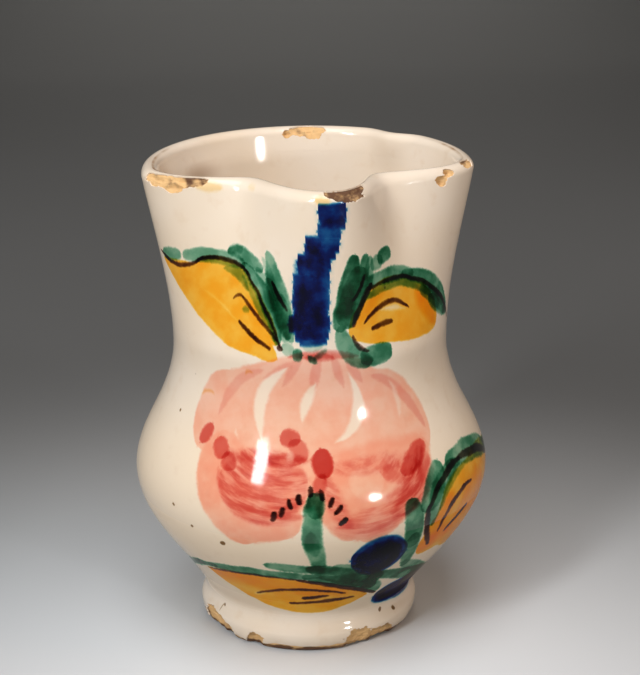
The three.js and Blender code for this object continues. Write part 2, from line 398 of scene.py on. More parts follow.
outside = throw("outside_coat", outside_line(), 240)
press_mouth(outside)
turn_faces(outside)
cut_finer(outside, 2)
select_only(outside, "FACE", chip_share(face_centres(outside)) > 0)
bpy.ops.mesh.delete(type="FACE")
bpy.ops.mesh.select_mode(type="VERT")
bpy.ops.mesh.select_all(action="DESELECT")
bpy.ops.mesh.select_non_manifold(
    use_wire=False, use_multi_face=False, use_non_contiguous=False, use_verts=False
)
leave_edit()
torn = np.empty(len(outside.data.vertices), bool)
outside.data.vertices.foreach_get("select", torn)
torn &= chip_share(vertex_places(outside)) > -0.5
select_only(outside, "VERT", torn)
bpy.ops.mesh.vertices_smooth(factor=0.5, repeat=3)
leave_edit()
print("outside coat before its thickness:", len(outside.data.polygons), "faces")

# %% [markdown]
# The lower edge of the coat was wiped by hand before firing, so it wanders.
# We move the lowest rows up and down with slow noise, and higher at the worn front,
# then add the thickness.
# An attribute keeps how near each point is to the lip's inner edge, where a thin brown line is
# drawn.


# %% Wiped edge
def ring_noise(angle, scale, level):
    turns = [(scale * math.sin(a), scale * math.cos(a), level) for a in np.radians(angle)]
    return np.array([noise.noise(Vector(p)) for p in turns])


places = vertex_places(outside)
around = angles_of(places)
worn = ease(around, -34, -24) * (1 - ease(around, 8, 20))
lift = 0.35 + 0.6 * ring_noise(around, 4, 0.3) + 0.4 * ring_noise(around, 13, 2.7) + 0.8 * worn
places[:, 2] += lift * (1 - ease(places[:, 2], 1.5, 8.5))
set_places(outside, places)
thicken(outside, OUTSIDE_COAT)
smooth(outside)
places = vertex_places(outside)
edge_near = np.where(places[:, 2] > LIP_ZONE, 10 - np.abs(lip_path(places) + 1.1), 0)
outside.data.attributes.new("lip_near", "FLOAT", "POINT").data.foreach_set("value", edge_near)
print("outside coat:", len(outside.data.polygons), "faces")

# %% [markdown]
# ## Clay under the chips
# The neck and the foot show bare earthenware where the glaze is gone.
# Each is thrown as a closed ring just under the coat, and the chips push its surface in,
# with noise on top, so that a chip has a broken floor and not a painted one.
# The belly has no chips, but its clay leans with the foot, so that the coat stays over it.

# %% Clay rings
UNDER = 0.55
NECK_JOIN, BELLY_JOIN, BELLY_INNER_JOIN = 112.7, 15.6, 33.0
FOOT_BORE, SOLE_EDGE, LEDGE_RADIUS, LEDGE_HEIGHT = 25.0, 38.2, 29.0, 5.0


def neck_clay_line():
    line = wall_rows(NECK_JOIN, NEAR_LIP, 20, inset=UNDER)
    line += wall_rows(NEAR_LIP, LIP_START, 10, inset=UNDER) + lip_arc(11, UNDER)
    return line + [(inner_radius(z) + UNDER, z) for z in np.linspace(LIP_START, NECK_JOIN, 18)[1:]]


def belly_clay_line():
    heights = np.linspace(BELLY_JOIN, WAIST_HEIGHT, 30)
    line = [(wall_radius(z) - UNDER, z) for z in heights]
    line += [(inner_radius(z) + UNDER, z) for z in heights[::-1] if z > 27]
    return line + [(BELLY_INNER_JOIN, BELLY_JOIN)]


def foot_clay_line():
    side = [(foot_radius(z) - UNDER, z) for z in np.linspace(0.35, FOOT_TOP, 22)]
    sole = [(FOOT_BORE, 0.0), (32.0, 0.0), (SOLE_EDGE, 0.0)]
    ledge = [(LEDGE_RADIUS, FOOT_TOP), (LEDGE_RADIUS, LEDGE_HEIGHT), (FOOT_BORE, LEDGE_HEIGHT)]
    return sole + side + ledge


def dish(piece, depth):
    piece.data.update()
    flat = np.empty(len(piece.data.vertices) * 3)
    piece.data.vertices.foreach_get("normal", flat)
    places = vertex_places(piece)
    share = np.clip(chip_share(places), 0, 1)
    piece.data.attributes.new("broken", "FLOAT", "POINT").data.foreach_set("value", share)
    broken = share > 0
    grit = np.zeros(len(places))
    grit[broken] = rough(places[broken], 0.5, 1.5, 0.6)
    push = depth * (1 - (1 - share) ** 2) * (1 + 0.5 * grit)
    set_places(piece, places - flat.reshape(-1, 3) * push[:, None])


neck_clay = throw("neck_clay", neck_clay_line(), 200, closed=True)
foot_clay = throw("foot_clay", foot_clay_line(), 160, closed=True)
belly_clay = throw("belly_clay", belly_clay_line(), 120, closed=True)
for clay, depth in ((neck_clay, 1.3), (foot_clay, 1.1), (belly_clay, 0.0)):
    press_mouth(clay)
    turn_faces(clay)
    cut_finer(clay, 2)
    dish(clay, depth)
    smooth(clay, 50)
    print(clay.name, len(clay.data.polygons), "faces")

# %% [markdown]
# ## The inside glaze
# The same glass was swilled round the inside and poured out.
# It starts tucked just behind the end of the outside coat, and goes down to the floor.


# %% Inside coat
def inside_line():
    floor, curve, flat = 11.1, 26.0, 12.0
    tucked = COAT_END + 0.05
    line = [(inner_radius(tucked) + 0.3, tucked)]
    line += wall_rows(COAT_END - 0.02, curve, 56, inner_radius)
    foot = inner_radius(curve)
    corner = foot - (curve - floor) * wall_flare(curve)
    for t in np.linspace(0, 1, 12):
        r = (1 - t) ** 2 * foot + 2 * t * (1 - t) * corner + t * t * flat
        line.append((r, floor + (1 - t) ** 2 * (curve - floor)))
    return line + [(r, floor) for r in (8.0, 4.0, 0.0)]


inside = throw("inside_coat", inside_line(), 160)
press_mouth(inside)
turn_faces(inside, outwards=False)
thicken(inside, INSIDE_COAT)
smooth(inside)
print("inside coat:", len(inside.data.polygons), "faces")

# %% [markdown]
# ## The handle
# The photograph hides the handle behind the neck, so this is the usual pulled strap:
# a flat oval of clay stroked out by hand, with a shallow thumb groove along its back.
# A circle is shaped to that section and extruded ring by ring along the CAD's path.
# Where it is pressed on the wall the section swells, as soft clay does.

# %% Handle
HANDLE_PATH = (
    (53.4, 160.0),
    (71.9, 163.0),
    (85.4, 149.4),
    (88.4, 129.5),
    (83.3, 104.6),
    (73.8, 86.3),
    (57.0, 74.5),
)
STRAP_HALF_WIDTH, STRAP_HALF_DEPTH = 13.2, 4.7
THUMB_DEPTH, THUMB_HALF_WIDTH = 0.9, 4.5
CORNERS = 32


def along_path(points, count):
    """Even steps on a smooth curve through the points."""
    chain = [2 * Vector(points[0]) - Vector(points[1])]
    chain += [Vector(p) for p in points]
    chain.append(2 * Vector(points[-1]) - Vector(points[-2]))
    fine = []
    for i in range(1, len(chain) - 2):
        a, b, c, d = chain[i - 1 : i + 3]
        square, cube = 2 * a - 5 * b + 4 * c - d, 3 * b - a - 3 * c + d
        for t in np.linspace(0, 1, 30, endpoint=False):
            fine.append(0.5 * (2 * b + (c - a) * t + square * t**2 + cube * t**3))
    fine.append(chain[-2])
    lengths = np.cumsum([0] + [(fine[i + 1] - fine[i]).length for i in range(len(fine) - 1)])
    even = np.linspace(0, lengths[-1], count)
    ys = np.interp(even, lengths, [p.x for p in fine])
    zs = np.interp(even, lengths, [p.y for p in fine])
    return list(zip(ys, zs))


def strap_ring(centre, ahead, share):
    left = 1 - share
    swell = 1 + 0.16 * math.exp(-((share / 0.07) ** 2)) + 0.12 * math.exp(-((left / 0.08) ** 2))
    slim = 1 - 0.06 * math.sin(math.pi * share)
    out = Vector((0, ahead[1], -ahead[0])).normalized()
    ring = []
    for i in range(CORNERS):
        a = 2 * math.pi * i / CORNERS
        across = STRAP_HALF_WIDTH * math.cos(a) * slim * swell
        depth = STRAP_HALF_DEPTH * math.sin(a)
        if depth > 0:
            groove = THUMB_DEPTH * math.exp(-((across / THUMB_HALF_WIDTH) ** 2))
            depth -= groove * min(1.0, 6 * share, 6 * left)
        depth *= swell
        ring.append(Vector((across, centre[0], centre[1])) + out * -depth)
    return ring


path = along_path(HANDLE_PATH, 60)
bpy.ops.mesh.primitive_circle_add(vertices=CORNERS, radius=0.01)
handle = bpy.context.object
handle.name = handle.data.name = "handle_coat"
edit(handle, "VERT", "SELECT")
for _ in range(len(path) - 1):
    extrude((0, 0, MM))
leave_edit()
rows = vertex_places(handle)
bearing = np.arctan2(rows[:, 1], rows[:, 0]) % (2 * math.pi - 1e-6)
order = np.lexsort((bearing, rows[:, 2].round(3)))
placed = np.empty_like(rows)
for step, centre in enumerate(path):
    before, after = path[max(step - 1, 0)], path[min(step + 1, len(path) - 1)]
    ahead = (after[0] - before[0], after[1] - before[1])
    ring = strap_ring(centre, ahead, step / (len(path) - 1))
    placed[order[step * CORNERS : (step + 1) * CORNERS]] = ring
set_places(handle, placed)
edit(handle, "EDGE", "DESELECT")
bpy.ops.mesh.select_non_manifold()
bpy.ops.mesh.edge_face_add()
bpy.ops.mesh.select_all(action="SELECT")
bpy.ops.mesh.normals_make_consistent(inside=False)
leave_edit()
smooth(handle, 50)
print("handle:", len(handle.data.polygons), "faces")

# %% [markdown]
# ## Small helpers for node trees
# A material here is a chain of small sums, so one short function adds a node of any kind,
# fills its first sockets with numbers or links, and hands back its outputs.
# The others use it for the kinds that come up most.


# %% Node helpers
def fill(tree, socket, value):
    if isinstance(value, bpy.types.NodeSocket):
        tree.links.new(value, socket)
    else:
        socket.default_value = value


def add_node(tree, kind, *values, **settings):
    node = tree.nodes.new("ShaderNode" + kind)
    for setting, choice in settings.items():
        setattr(node, setting, choice)
    for socket, value in zip(node.inputs, values):
        fill(tree, socket, value)
    return node.outputs


def sums(tree, operation, *values):
    return add_node(tree, "Math", *values, operation=operation)[0]


def vector_sums(tree, operation, *values):
    outputs = add_node(tree, "VectorMath", *values, operation=operation)
    return outputs["Value" if operation in ("DOT_PRODUCT", "DISTANCE", "LENGTH") else "Vector"]


def split_axes(tree, vector):
    return add_node(tree, "SeparateXYZ", vector)


def join_axes(tree, *values):
    return add_node(tree, "CombineXYZ", *values)[0]


def kept_value(tree, name):
    return add_node(tree, "Attribute", attribute_name=name)["Fac"]


def grain(tree, where, scale, detail, output="Fac"):
    node = tree.nodes.new("ShaderNodeTexNoise")
    node.inputs["Scale"].default_value = scale
    node.inputs["Detail"].default_value = detail
    tree.links.new(where, node.inputs["Vector"])
    return node.outputs[output]


def between(tree, value, low, high, start=0.0, end=1.0):
    numbers = (value, low, high, start, end)
    return add_node(tree, "MapRange", *numbers, interpolation_type="SMOOTHSTEP")[0]


def blend_colours(tree, share, one, two, kind="MIX"):
    node = tree.nodes.new("ShaderNodeMix")
    node.data_type = "RGBA"
    node.blend_type = kind
    fill(tree, node.inputs["Factor"], share)
    fill(tree, node.inputs[6], one)
    fill(tree, node.inputs[7], two)
    return node.outputs[2]


def new_group(name, takes, gives):
    tree = bpy.data.node_groups.new(name, "ShaderNodeTree")
    kinds = {"value": "NodeSocketFloat", "vector": "NodeSocketVector", "colour": "NodeSocketColor"}
    for label, kind in takes.items():
        tree.interface.new_socket(label, in_out="INPUT", socket_type=kinds[kind])
    for label, kind in gives.items():
        tree.interface.new_socket(label, in_out="OUTPUT", socket_type=kinds[kind])
    return tree, tree.nodes.new("NodeGroupInput").outputs


def use_group(tree, group, **values):
    node = tree.nodes.new("ShaderNodeGroup")
    node.node_tree = group
    for label, value in values.items():
        fill(tree, node.inputs[label.replace("_", " ")], value)
    return node.outputs


def give(tree, **values):
    node = tree.nodes.new("NodeGroupOutput")
    for label, value in values.items():
        tree.links.new(value, node.inputs[label.replace("_", " ")])


# %% [markdown]
# ## A brush mark
# The spray is painted with single strokes of a soft brush, so a single stroke is our tool.
# A mark runs from one point to another, can bow to its left, and has a width that swells
# from its ends: ends 0 gives a square dab, 0.5 an oval and 1 a pointed leaf.
# The group puts out how far a place lies outside the mark, negative inside it.
# Everything is in degrees round the jug and millimetres up, which are about the same size.

# %% Brush mark group
mark_tree, takes = new_group(
    "brush_mark",
    {
        "Place": "vector",
        "Along": "vector",
        "Across": "vector",
        "Bow": "value",
        "Width start": "value",
        "Width growth": "value",
        "Ends": "value",
        "Length": "value",
        "Half length": "value",
    },
    {"Edge": "value"},
)
along = vector_sums(mark_tree, "DOT_PRODUCT", takes["Place"], takes["Along"])
across = vector_sums(mark_tree, "DOT_PRODUCT", takes["Place"], takes["Across"])
rest = sums(mark_tree, "SUBTRACT", 1.0, along)
hump = sums(mark_tree, "MULTIPLY", along, rest)
bent = sums(mark_tree, "MULTIPLY_ADD", hump, takes["Bow"], across)
off = sums(mark_tree, "ABSOLUTE", bent)
round_end = sums(mark_tree, "POWER", sums(mark_tree, "MAXIMUM", hump, 0.0), takes["Ends"])
width = sums(mark_tree, "MULTIPLY_ADD", along, takes["Width growth"], takes["Width start"])
side = sums(mark_tree, "SUBTRACT", off, sums(mark_tree, "MULTIPLY", width, round_end))
middle = sums(mark_tree, "ABSOLUTE", sums(mark_tree, "SUBTRACT", along, 0.5))
end = sums(mark_tree, "MULTIPLY_ADD", middle, takes["Length"], takes["Half length"])
give(mark_tree, Edge=sums(mark_tree, "MAXIMUM", side, end))


def mark(x0, z0, x1, z1, half, ends=0.4, weight=1.0, bow=0.0, swell=0.0):
    """One stroke, as the constants that the brush_mark group needs, and its weight of colour."""
    length = math.hypot(x1 - x0, z1 - z0)
    ux, uz = (x1 - x0) / length, (z1 - z0) / length
    full = half * 4**ends
    return {
        "Along": (ux / length, uz / length, -(x0 * ux + z0 * uz) / length),
        "Across": (-uz, ux, x0 * uz - z0 * ux),
        "Bow": -4 * bow,
        "Width_start": full * (1 - swell),
        "Width_growth": full * 2 * swell,
        "Ends": ends,
        "Length": length,
        "Half_length": -length / 2,
    }, weight


def marks(*rows):
    return tuple(mark(*row) for row in rows)


print("brush mark nodes:", len(mark_tree.nodes))

# %% [markdown]
# ## The strokes of the spray
# These are read off the jug, pigment by pigment, in the order the painter laid them.
# Washes are marks that melt into one area; the others are laid one over another,
# so that they darken where they cross, as real stain does.
# A row is: angle and height of the start, the same of the end, half the width,
# then the form of the ends, the weight of colour, the bow and the swell where they matter.

# %% Yellow leaves and pink fruit: washes
LEFT_LEAF = marks(
    (-80, 147, -20, 121.5, 9.3, 0.8, 1, 1.6, 0.1),
    (-63, 148, -19, 125, 6.5, 0.5, 1, 6.3, -0.15),
    (-34, 126.5, -19.5, 119.6, 3.2, 0.6),
)
RIGHT_LEAF = marks(
    (9.5, 130.5, 60, 127.5, 11.3, 0.42, 1, 4.7, 0.06),
    (12, 132.5, 40, 142, 3.4, 0.5, 1, 3.4),
    (18.6, 141.4, 38, 142.4, 2.2, 0.4, 1, 1.6),
)
LOW_LEAF = marks((-52, 34, 20, 24.5, 10.3, 0.85, 1, -1.8, 0.08))
SIDE_LEAF = marks(
    (32, 46, 97, 56, 14.2, 0.45, 1, 9.8),
    (40, 48, 97, 44, 9),
    (37, 54, 60, 71, 4.4, 0.5, 1, 5.0),
)
# Deeper yellow: thicker stain in some places, and painted shade on the right and lower sides of the
# leaves.
DEEP_YELLOW_AND_SHADE = marks(
    (48, 139, 57.5, 124, 4.0, 0.5, 1.2),
    (13, 133, 27, 142, 2.6, 0.5, 0.8, 1),
    (-33, 139, -21, 123, 3.4, 0.5, 0.4),
    (-52, 34, 8, 29, 4.6, 0.5, 0.75, 2.0),
    (38, 47, 44, 66, 4.0, 0.5, 0.9, 2),
    (46, 42, 64, 68, 9.0, 0.5, 0.7),
    (31, 45, 46, 51, 4.0, 0.5, 1.2),
    (70, 40, 92, 36, 9.0, 0.5, 1.2),
)
FRUIT = marks(
    (-36, 101, 27, 101, 21.5, 0.45),
    (-49.5, 84.5, -38.5, 113, 10.8, 0.6),
    (-46, 105, -20, 115, 5.6, 0.5),
    (17, 112, 39.6, 84, 11.6, 0.5),
    (-46, 84, 34, 85, 5, 0.3),
    (-24, 84, -4, 73, 8),
)
LOBES = marks(
    (-42, 91, -24, 55.5, 11.2),
    (-33, 86, -12, 59, 10.2, 0.45),
    (-30, 62, -12, 66, 7.6, 0.5),
    (37, 88, 8, 57, 8.5),
    (-1, 86, 8, 57.5, 8.5),
    (-1, 81, 31, 82, 8, 0.35),
    (4, 64, 22, 66, 7.6, 0.5),
)
BARE = marks(
    (-15, 117, -24, 91, 2.6, 0.7, 1, -6.0),
    (-4.0, 111.0, -9.4, 97.8, 2.0, 0.8, 1, -0.8),
    (9.4, 113.4, 3.2, 90.5, 2.5, 0.75, 1, 6.6),
    (27, 109, 29.6, 96, 1.1, 0.7, 0.6, 1.8),
    (-14.6, 86.2, -11.6, 86.2, 1.5, 0.5, 0.5),
    (6, 77, 18, 77, 5.0, 0.5, 0.22),
)
BARE_LEAF = marks(
    (24, 135.2, 39, 133, 1.0, 0.8, 1, 0.5),
    (-56, 139.6, -38, 131.6, 0.5, 0.4, 0.55, 0.3),
    (-33, 25.6, -27, 27.4, 1.0, 0.5, 0.6),
)

# %% Red over the pink
RED_LEFT = marks(
    (-37, 77, -7, 77, 12.0, 0.5, 0.5, -1),
    (-38, 79, -9, 66.5, 2.8, 0.5, 0.6, -6),
    (-35, 79.5, -7.5, 72, 2.2, 0.5, 0.5, -3.5),
    (-37, 85.2, -7, 85, 2.0, 0.4, 0.75),
    (-33, 80, -7, 79, 3.2, 0.4, 0.5, -0.6),
    (-22, 69, -10, 69.5, 2.4, 0.5, 0.4),
)
RED_RIGHT = marks(
    (33, 80, 2, 62.5, 5.0, 0.45, 0.55, 5.2),
    (36, 84, 20, 64, 4.8, 0.45, 0.85, 2.5),
    (1, 82.4, 30, 82.4, 2.6, 0.4, 0.5),
    (18, 79, 33, 79, 4.0, 0.5, 0.6),
    (24, 63.5, 0.5, 61.5, 2.6, 0.5, 0.35, 2.6),
    (-1, 80, 6, 62, 2.6, 0.5, 0.6, -1),
)
RED_DABS = marks(
    (-48.6, 86, -45.4, 93.6, 2.5, 0.4, 1.5),
    (-41.4, 89.4, -37, 83.4, 3.0, 0.35, 1.3),
    (-36.6, 85.6, -33.8, 79.6, 2.5, 0.4, 1.2),
    (-17.4, 92.6, -9.8, 91.6, 3.0, 0.45, 1.3),
    (-13, 91.5, -8.4, 84.5, 3.0, 0.4, 0.9, 0.6),
    (-22.5, 85, -8, 85.4, 1.8, 0.45, 0.6),
    (-2.8, 88.6, -1.6, 79.4, 3.6, 0.4, 2.2),
    (-1.8, 81, -5, 74, 2.0, 0.5, 1.2),
    (37.4, 86.2, 25, 77, 3.2, 0.45, 1.4),
    (-25, 115.5, -43.5, 97, 1.9, 0.5, 0.26, -3.6),
    (19, 112.5, 40.5, 90, 1.9, 0.4, 0.34, 3.6),
    (-15, 121, 13, 120, 1.6, 0.6, 0.8, 1.2),
    (-8, 120.5, 3, 120, 1.6, 0.5, 0.8, 0.4),
    (-3, 122, -5, 108, 1.9, 0.8, 0.36),
    (2, 122, 7, 109, 1.7, 0.8, 0.32),
    (8, 119, 15, 110, 1.7, 0.8, 0.32),
    (-9, 121.5, -17, 110, 1.6, 0.8, 0.3),
    (-12, 119.5, -25, 112, 1.5, 0.8, 0.28),
)

# %% Green leaves, fronds and stems
GREEN = marks(
    (-80, 148.4, -68.6, 150.8, 2.3, 0.35, 0.6, 0.3),
    (-67.8, 150.6, -36, 150.4, 2.6, 0.25, 0.55, 1.6),
    (-47, 154.8, -26.5, 150.0, 2.4, 0.4, 0.75, 1.4),
    (-47, 154.6, -38.5, 155.6, 1.6, 0.35, 0.4, 0.3),
    (-38, 151, -18.5, 125, 3.2, 0.3, 0.75, 4.4),
    (-37.4, 147.0, -20, 125.6, 1.7, 0.5, 0.38, 1.9),
    (-48, 148.6, -33.5, 142.4, 1.9, 0.5, 0.4, 2.2),
    (-25.2, 157.2, -14.5, 127, 3.8, 0.5, 0.8, 1, 0.1),
    (-27.6, 154.6, -20, 140, 1.6, 0.5, 0.35, 1.4),
    (-30, 151, -17, 130, 2.6, 0.4, 0.3, 1.6),
    (-24, 148, -15.5, 126, 3.0, 0.4, 0.4, 1),
    (-18.5, 143, -13.4, 126, 2.6, 0.4, 0.6),
    (-35.4, 135.6, -32, 135.8, 0.9, 0.5, 0.3),
    (12.8, 157, 5.0, 129.6, 4.0, 0.35, 1.4, 0.4, 0.05),
    (18.2, 156, 9.4, 131, 3.2, 0.4, 1, 0.6),
    (15.5, 152, 7.0, 131, 5.0, 0.3, 0.8),
    (20.6, 154.6, 14, 138, 2.8, 0.45, 0.7, 0.8),
    (20, 151, 28, 152.8, 2.4, 0.4, 0.7),
    (24.6, 152.8, 34.6, 153.8, 2.7, 0.3, 1.2, 0.3),
    (15, 145.4, 48, 144.4, 2.6, 0.3, 1, 1.2),
    (16.5, 140.2, 60, 131.6, 1.9, 0.3, 0.75, 6.8),
    (40, 145.0, 71, 124.4, 3.2, 0.35, 1.1, 4.8, 0.1),
    (50, 138, 69.5, 124.6, 3.0, 0.45, 0.6, 0.8),
    (55, 133.5, 68.5, 125.6, 3.2, 0.4, 0.8),
    (5, 131, 19, 116.4, 3.8, 0.3, 1, -2.8),
    (14, 118.9, 28.8, 120.2, 3.8, 0.3, 0.9),
    (-13.3, 121.6, -8.9, 121.6, 2.2, 0.5, 1.1),
    (-17.6, 124, -12.4, 123.2, 2.2, 0.5, 0.4),
    (-9, 124.4, -1, 124.8, 1.6, 0.5, 0.2),
    (-6.6, 121.4, -3.6, 118.4, 1.2, 0.5),
    (-5, 119.6, 0.4, 123.4, 1.0, 0.5, 0.5),
    (-4.4, 75, -3.4, 45, 3.0, 0.15, 0.85, -2.0, 0.04),
    (-4.7, 75, -4.9, 66, 2.8, 0.4, 0.75),
    (-6.2, 61, -5.2, 50, 2.2, 0.6, 0.4),
    (-22.5, 45, 6, 41.6, 2.2, 0.3),
    (-8, 44.4, 21, 29.5, 4.6, 0.45, 1.1, 1),
    (0, 44, 22, 34, 4.6, 0.35, 0.7),
    (10, 38.5, 25, 25.4, 3.4, 0.5, 0.8),
    (16, 37.6, 90, 11.2, 3.3, 0.3, 1.3, 1.6),
    (28, 40.5, 48, 30.5, 2.4, 0.4, 0.7, -0.6),
    (-92, 18.5, -44, 38.2, 1.6, 0.4, 1.9, 2.6),
    (-50, 37, -4, 38.7, 2.0, 0.4, 0.95, 2.0),
    (-10, 39.4, 14, 32, 2.6, 0.4, 1.1, 0.6),
    (26.8, 69, 28.4, 48, 3.6, 0.3, 1, 0.2),
    (28.4, 55, 30, 38, 3.0, 0.4, 0.9, -0.4),
    (40.6, 78.4, 31.5, 62, 4.2, 0.35, 0.9, 0.4),
    (34.4, 56, 51, 75.4, 3.5, 0.3, 0.75, 5.4),
    (44, 76, 81, 68, 4.2, 0.35, 0.8, 3.2),
    (37.5, 61, 56, 72.6, 1.7, 0.4, 0.4, 4.0),
    (76, 72, 94, 57, 2.6, 0.4, 0.9, 2),
)

# %% Blue spike and berries
SPIKE_ROWS = (
    (172.6, -2.2, 9.0),
    (169.4, -1.8, 8.4),
    (165.6, -2.8, 6.4),
    (161.0, -7.4, 6.0),
    (158.4, -7.8, 4.6),
    (154.8, -10.5, 2.6),
    (152.0, -10.7, 2.0),
    (147.6, -13.0, 1.9),
    (144.0, -12.6, 1.4),
    (140.4, -13.2, 1.7),
    (136.6, -12.4, 1.2),
    (132.6, -14.6, 2.0),
    (129.6, -12.0, 1.4),
    (127.8, -10.4, 0.6),
)
SPIKE = marks(*((left, z, right, z + 0.2, 2.8, 0.03) for z, left, right in SPIKE_ROWS))
BERRY = marks((6.8, 47.2, 26.8, 47.2, 9.3, 0.5))
LOW_BERRY = marks((25, 21, 69, 17.6, 7.2, 0.42, 1, 2.4))
BLUE_POOLS = marks(
    (-1, 168, 8, 169.6, 1.6, 0.4, 0.6),
    (-6.6, 161.5, -1.6, 160, 2.2, 0.4, 0.7),
    (-9.4, 156, -10.4, 129, 2.4, 0.35, 0.4),
    (-2, 157, -1.6, 128, 2.0, 0.4, 0.25),
    (-5.5, 150, -6, 127, 5.0, 0.25, 0.5),
    (-3.6, 160, -4, 149, 3.4, 0.3, 0.45),
    (-10, 147, -1, 145.5, 2.0, 0.4, 0.25),
    (-14, 134, -9, 132, 2.6, 0.4, 0.8),
    (8.6, 46.8, 25, 46.8, 7.6, 0.5, 1.3),
    (27, 21, 66, 17.8, 5.8, 0.45, 1.1, 2.2),
)

# %% Dark lines and ticks
LINES = marks(
    (-82, 149.6, -58, 151, 0.75, 0.25, 1, -3.4),
    (-61, 149.8, -33, 147.6, 0.7, 0.2, 1, 2.8),
    (-36, 149.0, -18, 124, 0.62, 0.25, 1, 2.2),
    (-19.4, 124, -17, 123.4, 0.9),
    (-41.3, 138.6, -35.5, 139.6, 0.6, 0.3, 0.8, 0.9),
    (-36.4, 139.9, -19, 126, 0.7, 0.25, 0.8, 0.6),
    (-37, 131.5, -22, 122.8, 0.75, 0.2, 1, -0.3),
    (-21.6, 146.8, -15.4, 136.8, 0.65, 0.25),
    (11.2, 131, 20.6, 145.4, 1.1, 0.25, 1, 0.9),
    (14.5, 137, 19, 144.5, 1.2, 0.4, 0.5, 0.6),
    (18.6, 143.6, 46, 143.0, 0.7, 0.2, 1, 1.5),
    (43, 143.4, 74, 121.4, 0.8, 0.2, 1, 3.7),
    (16.3, 131.8, 41.2, 133.2, 0.8, 0.2, 1, 4.6),
    (19.4, 128.8, 30.4, 130.4, 0.85, 0.2, 1, 0.4),
    (17.2, 148.6, 11.4, 140.6, 0.65, 0.3, 1, 0.4),
    (10.8, 127.8, 17.8, 121.2, 0.75, 0.25, 1, -1.4),
    (-52, 34, -8, 37.2, 0.5, 0.3, 0.7, 2.2),
    (-12, 37.3, 24.5, 24, 1.0, 0.3, 1, 1.2),
    (-31.5, 26.3, 8.5, 27.8, 0.7, 0.25, 1, 4.2),
    (-17, 22.4, 13, 24.5, 0.8, 0.2, 1, 0.3),
    (-10.6, 26, 0.8, 27, 0.75, 0.3),
    (37.2, 45.8, 33, 64.5, 1.1, 0.25, 1, 1.8),
    (32.8, 62.5, 52, 75.6, 1.1, 0.2, 1, 3.2),
    (50, 75.5, 79, 66.5, 1.4, 0.25, 1, 2.7),
    (38.8, 51.2, 56.2, 65.8, 0.85, 0.2, 1, 4.6),
    (43, 49.6, 54, 56.6, 0.8, 0.25, 1, 0.7),
)
TICK_HALF = 1.75
TICKS = (
    (-17.7, 66.5, 72),
    (-15.2, 68.2, 74),
    (-12.7, 71.0, 105),
    (-9.8, 72.8, 102),
    (-6.4, 75.2, 92),
    (-3.0, 74.2, 108),
    (0.1, 71.8, 72),
    (2.4, 68.9, 52),
    (3.8, 64.7, 38),
)
for x, z, lean in TICKS:
    dx = TICK_HALF * math.cos(math.radians(lean))
    dz = TICK_HALF * math.sin(math.radians(lean))
    LINES += marks((x - dx, z - dz, x + dx, z + dz, 0.72, 0.25, 1.3))
SPECKS = marks(
    (-36.6, 52.2, -34.4, 52.9, 0.9, 0.5),
    (-54.8, 62.7, -53.8, 62.9, 0.5, 0.5),
    (-47.4, 56.4, -46.4, 56.6, 0.5, 0.5),
    (-65.6, 93.0, -64.6, 93.2, 0.5, 0.5),
    (33.2, 12.0, 35.2, 12.4, 0.8, 0.5),
    (43, 10.9, 45.6, 10.2, 0.8, 0.5),
    (-60, 12, -59, 12.4, 0.6, 0.5),
    (-62.6, 9.2, -60.2, 12.2, 0.2, 0.3, 0.6, 0.3),
)
RUST = marks(
    (-62.5, 176.6, -53.5, 175.4, 1.6, 0.5, 0.6),
    (-3.5, 176.6, 2.5, 176.4, 1.5, 0.5, 0.8),
    (-41, 177.2, -36, 176.6, 0.8, 0.5, 0.25),
    (-54, 102.2, -48, 103.6, 0.35, 0.3, 1, 1),
    (-32.6, 113.0, -29.6, 114.2, 0.35, 0.3, 1, 0.6),
    (-36.2, 144.4, -33, 142.6, 0.4),
)
print("strokes:", len(RED_LEFT + RED_RIGHT + RED_DABS + GREEN + SPIKE + BLUE_POOLS + LINES))

# %% [markdown]
# ## Laying the stains
# Each metal stain tints the white glaze as coloured glass would: twice as thick is its colour
# squared. So we add up how thick every stain lies, and raise its colour to that power
# with a Gamma node. Copper gives green, cobalt blue, antimony yellow, manganese near black.
# The nodes are made in the order they are needed, which keeps the shader small in memory.

# %% Painted spray group
STAINS = {
    "yellow": (0.98, 0.53, 0.045),
    "pink": (0.98, 0.61, 0.53),
    "red": (0.8, 0.345, 0.345),
    "green": (0.075, 0.3, 0.21),
    "blue": (0.0005, 0.03, 0.22),
    "dark": (0.05, 0.022, 0.016),
    "speck": (0.22, 0.14, 0.07),
    "rust": (0.93, 0.72, 0.36),
}
spray, takes = new_group(
    "painted_spray",
    {
        "Place": "vector",
        "Frayed": "value",
        "Mottle": "value",
        "Left streaks": "value",
        "Right streaks": "value",
    },
    {"Tint": "colour"},
)


def edge_of(stroke):
    return use_group(spray, mark_tree, Place=takes["Place"], **stroke[0])["Edge"]


def film(edge, soft, fray):
    torn = sums(spray, "MULTIPLY_ADD", takes["Frayed"], fray, edge)
    return between(spray, torn, soft, -soft)


def joined_edge(strokes, melt):
    joined = edge_of(strokes[0])
    for stroke in strokes[1:]:
        joined = sums(spray, "SMOOTH_MIN", joined, edge_of(stroke), melt)
    return joined


def wash(strokes, soft, fray, melt):
    return film(joined_edge(strokes, melt), soft, fray)


def pile(strokes, soft, fray):
    total = 0.0
    for stroke in strokes:
        layer = film(edge_of(stroke), soft, fray)
        total = sums(spray, "MULTIPLY_ADD", layer, stroke[1], total)
    return total


def stained(tint, thickness, stain):
    layer = add_node(spray, "Gamma", (*STAINS[stain], 1), thickness)[0]
    return blend_colours(spray, 1.0, tint, layer, "MULTIPLY")


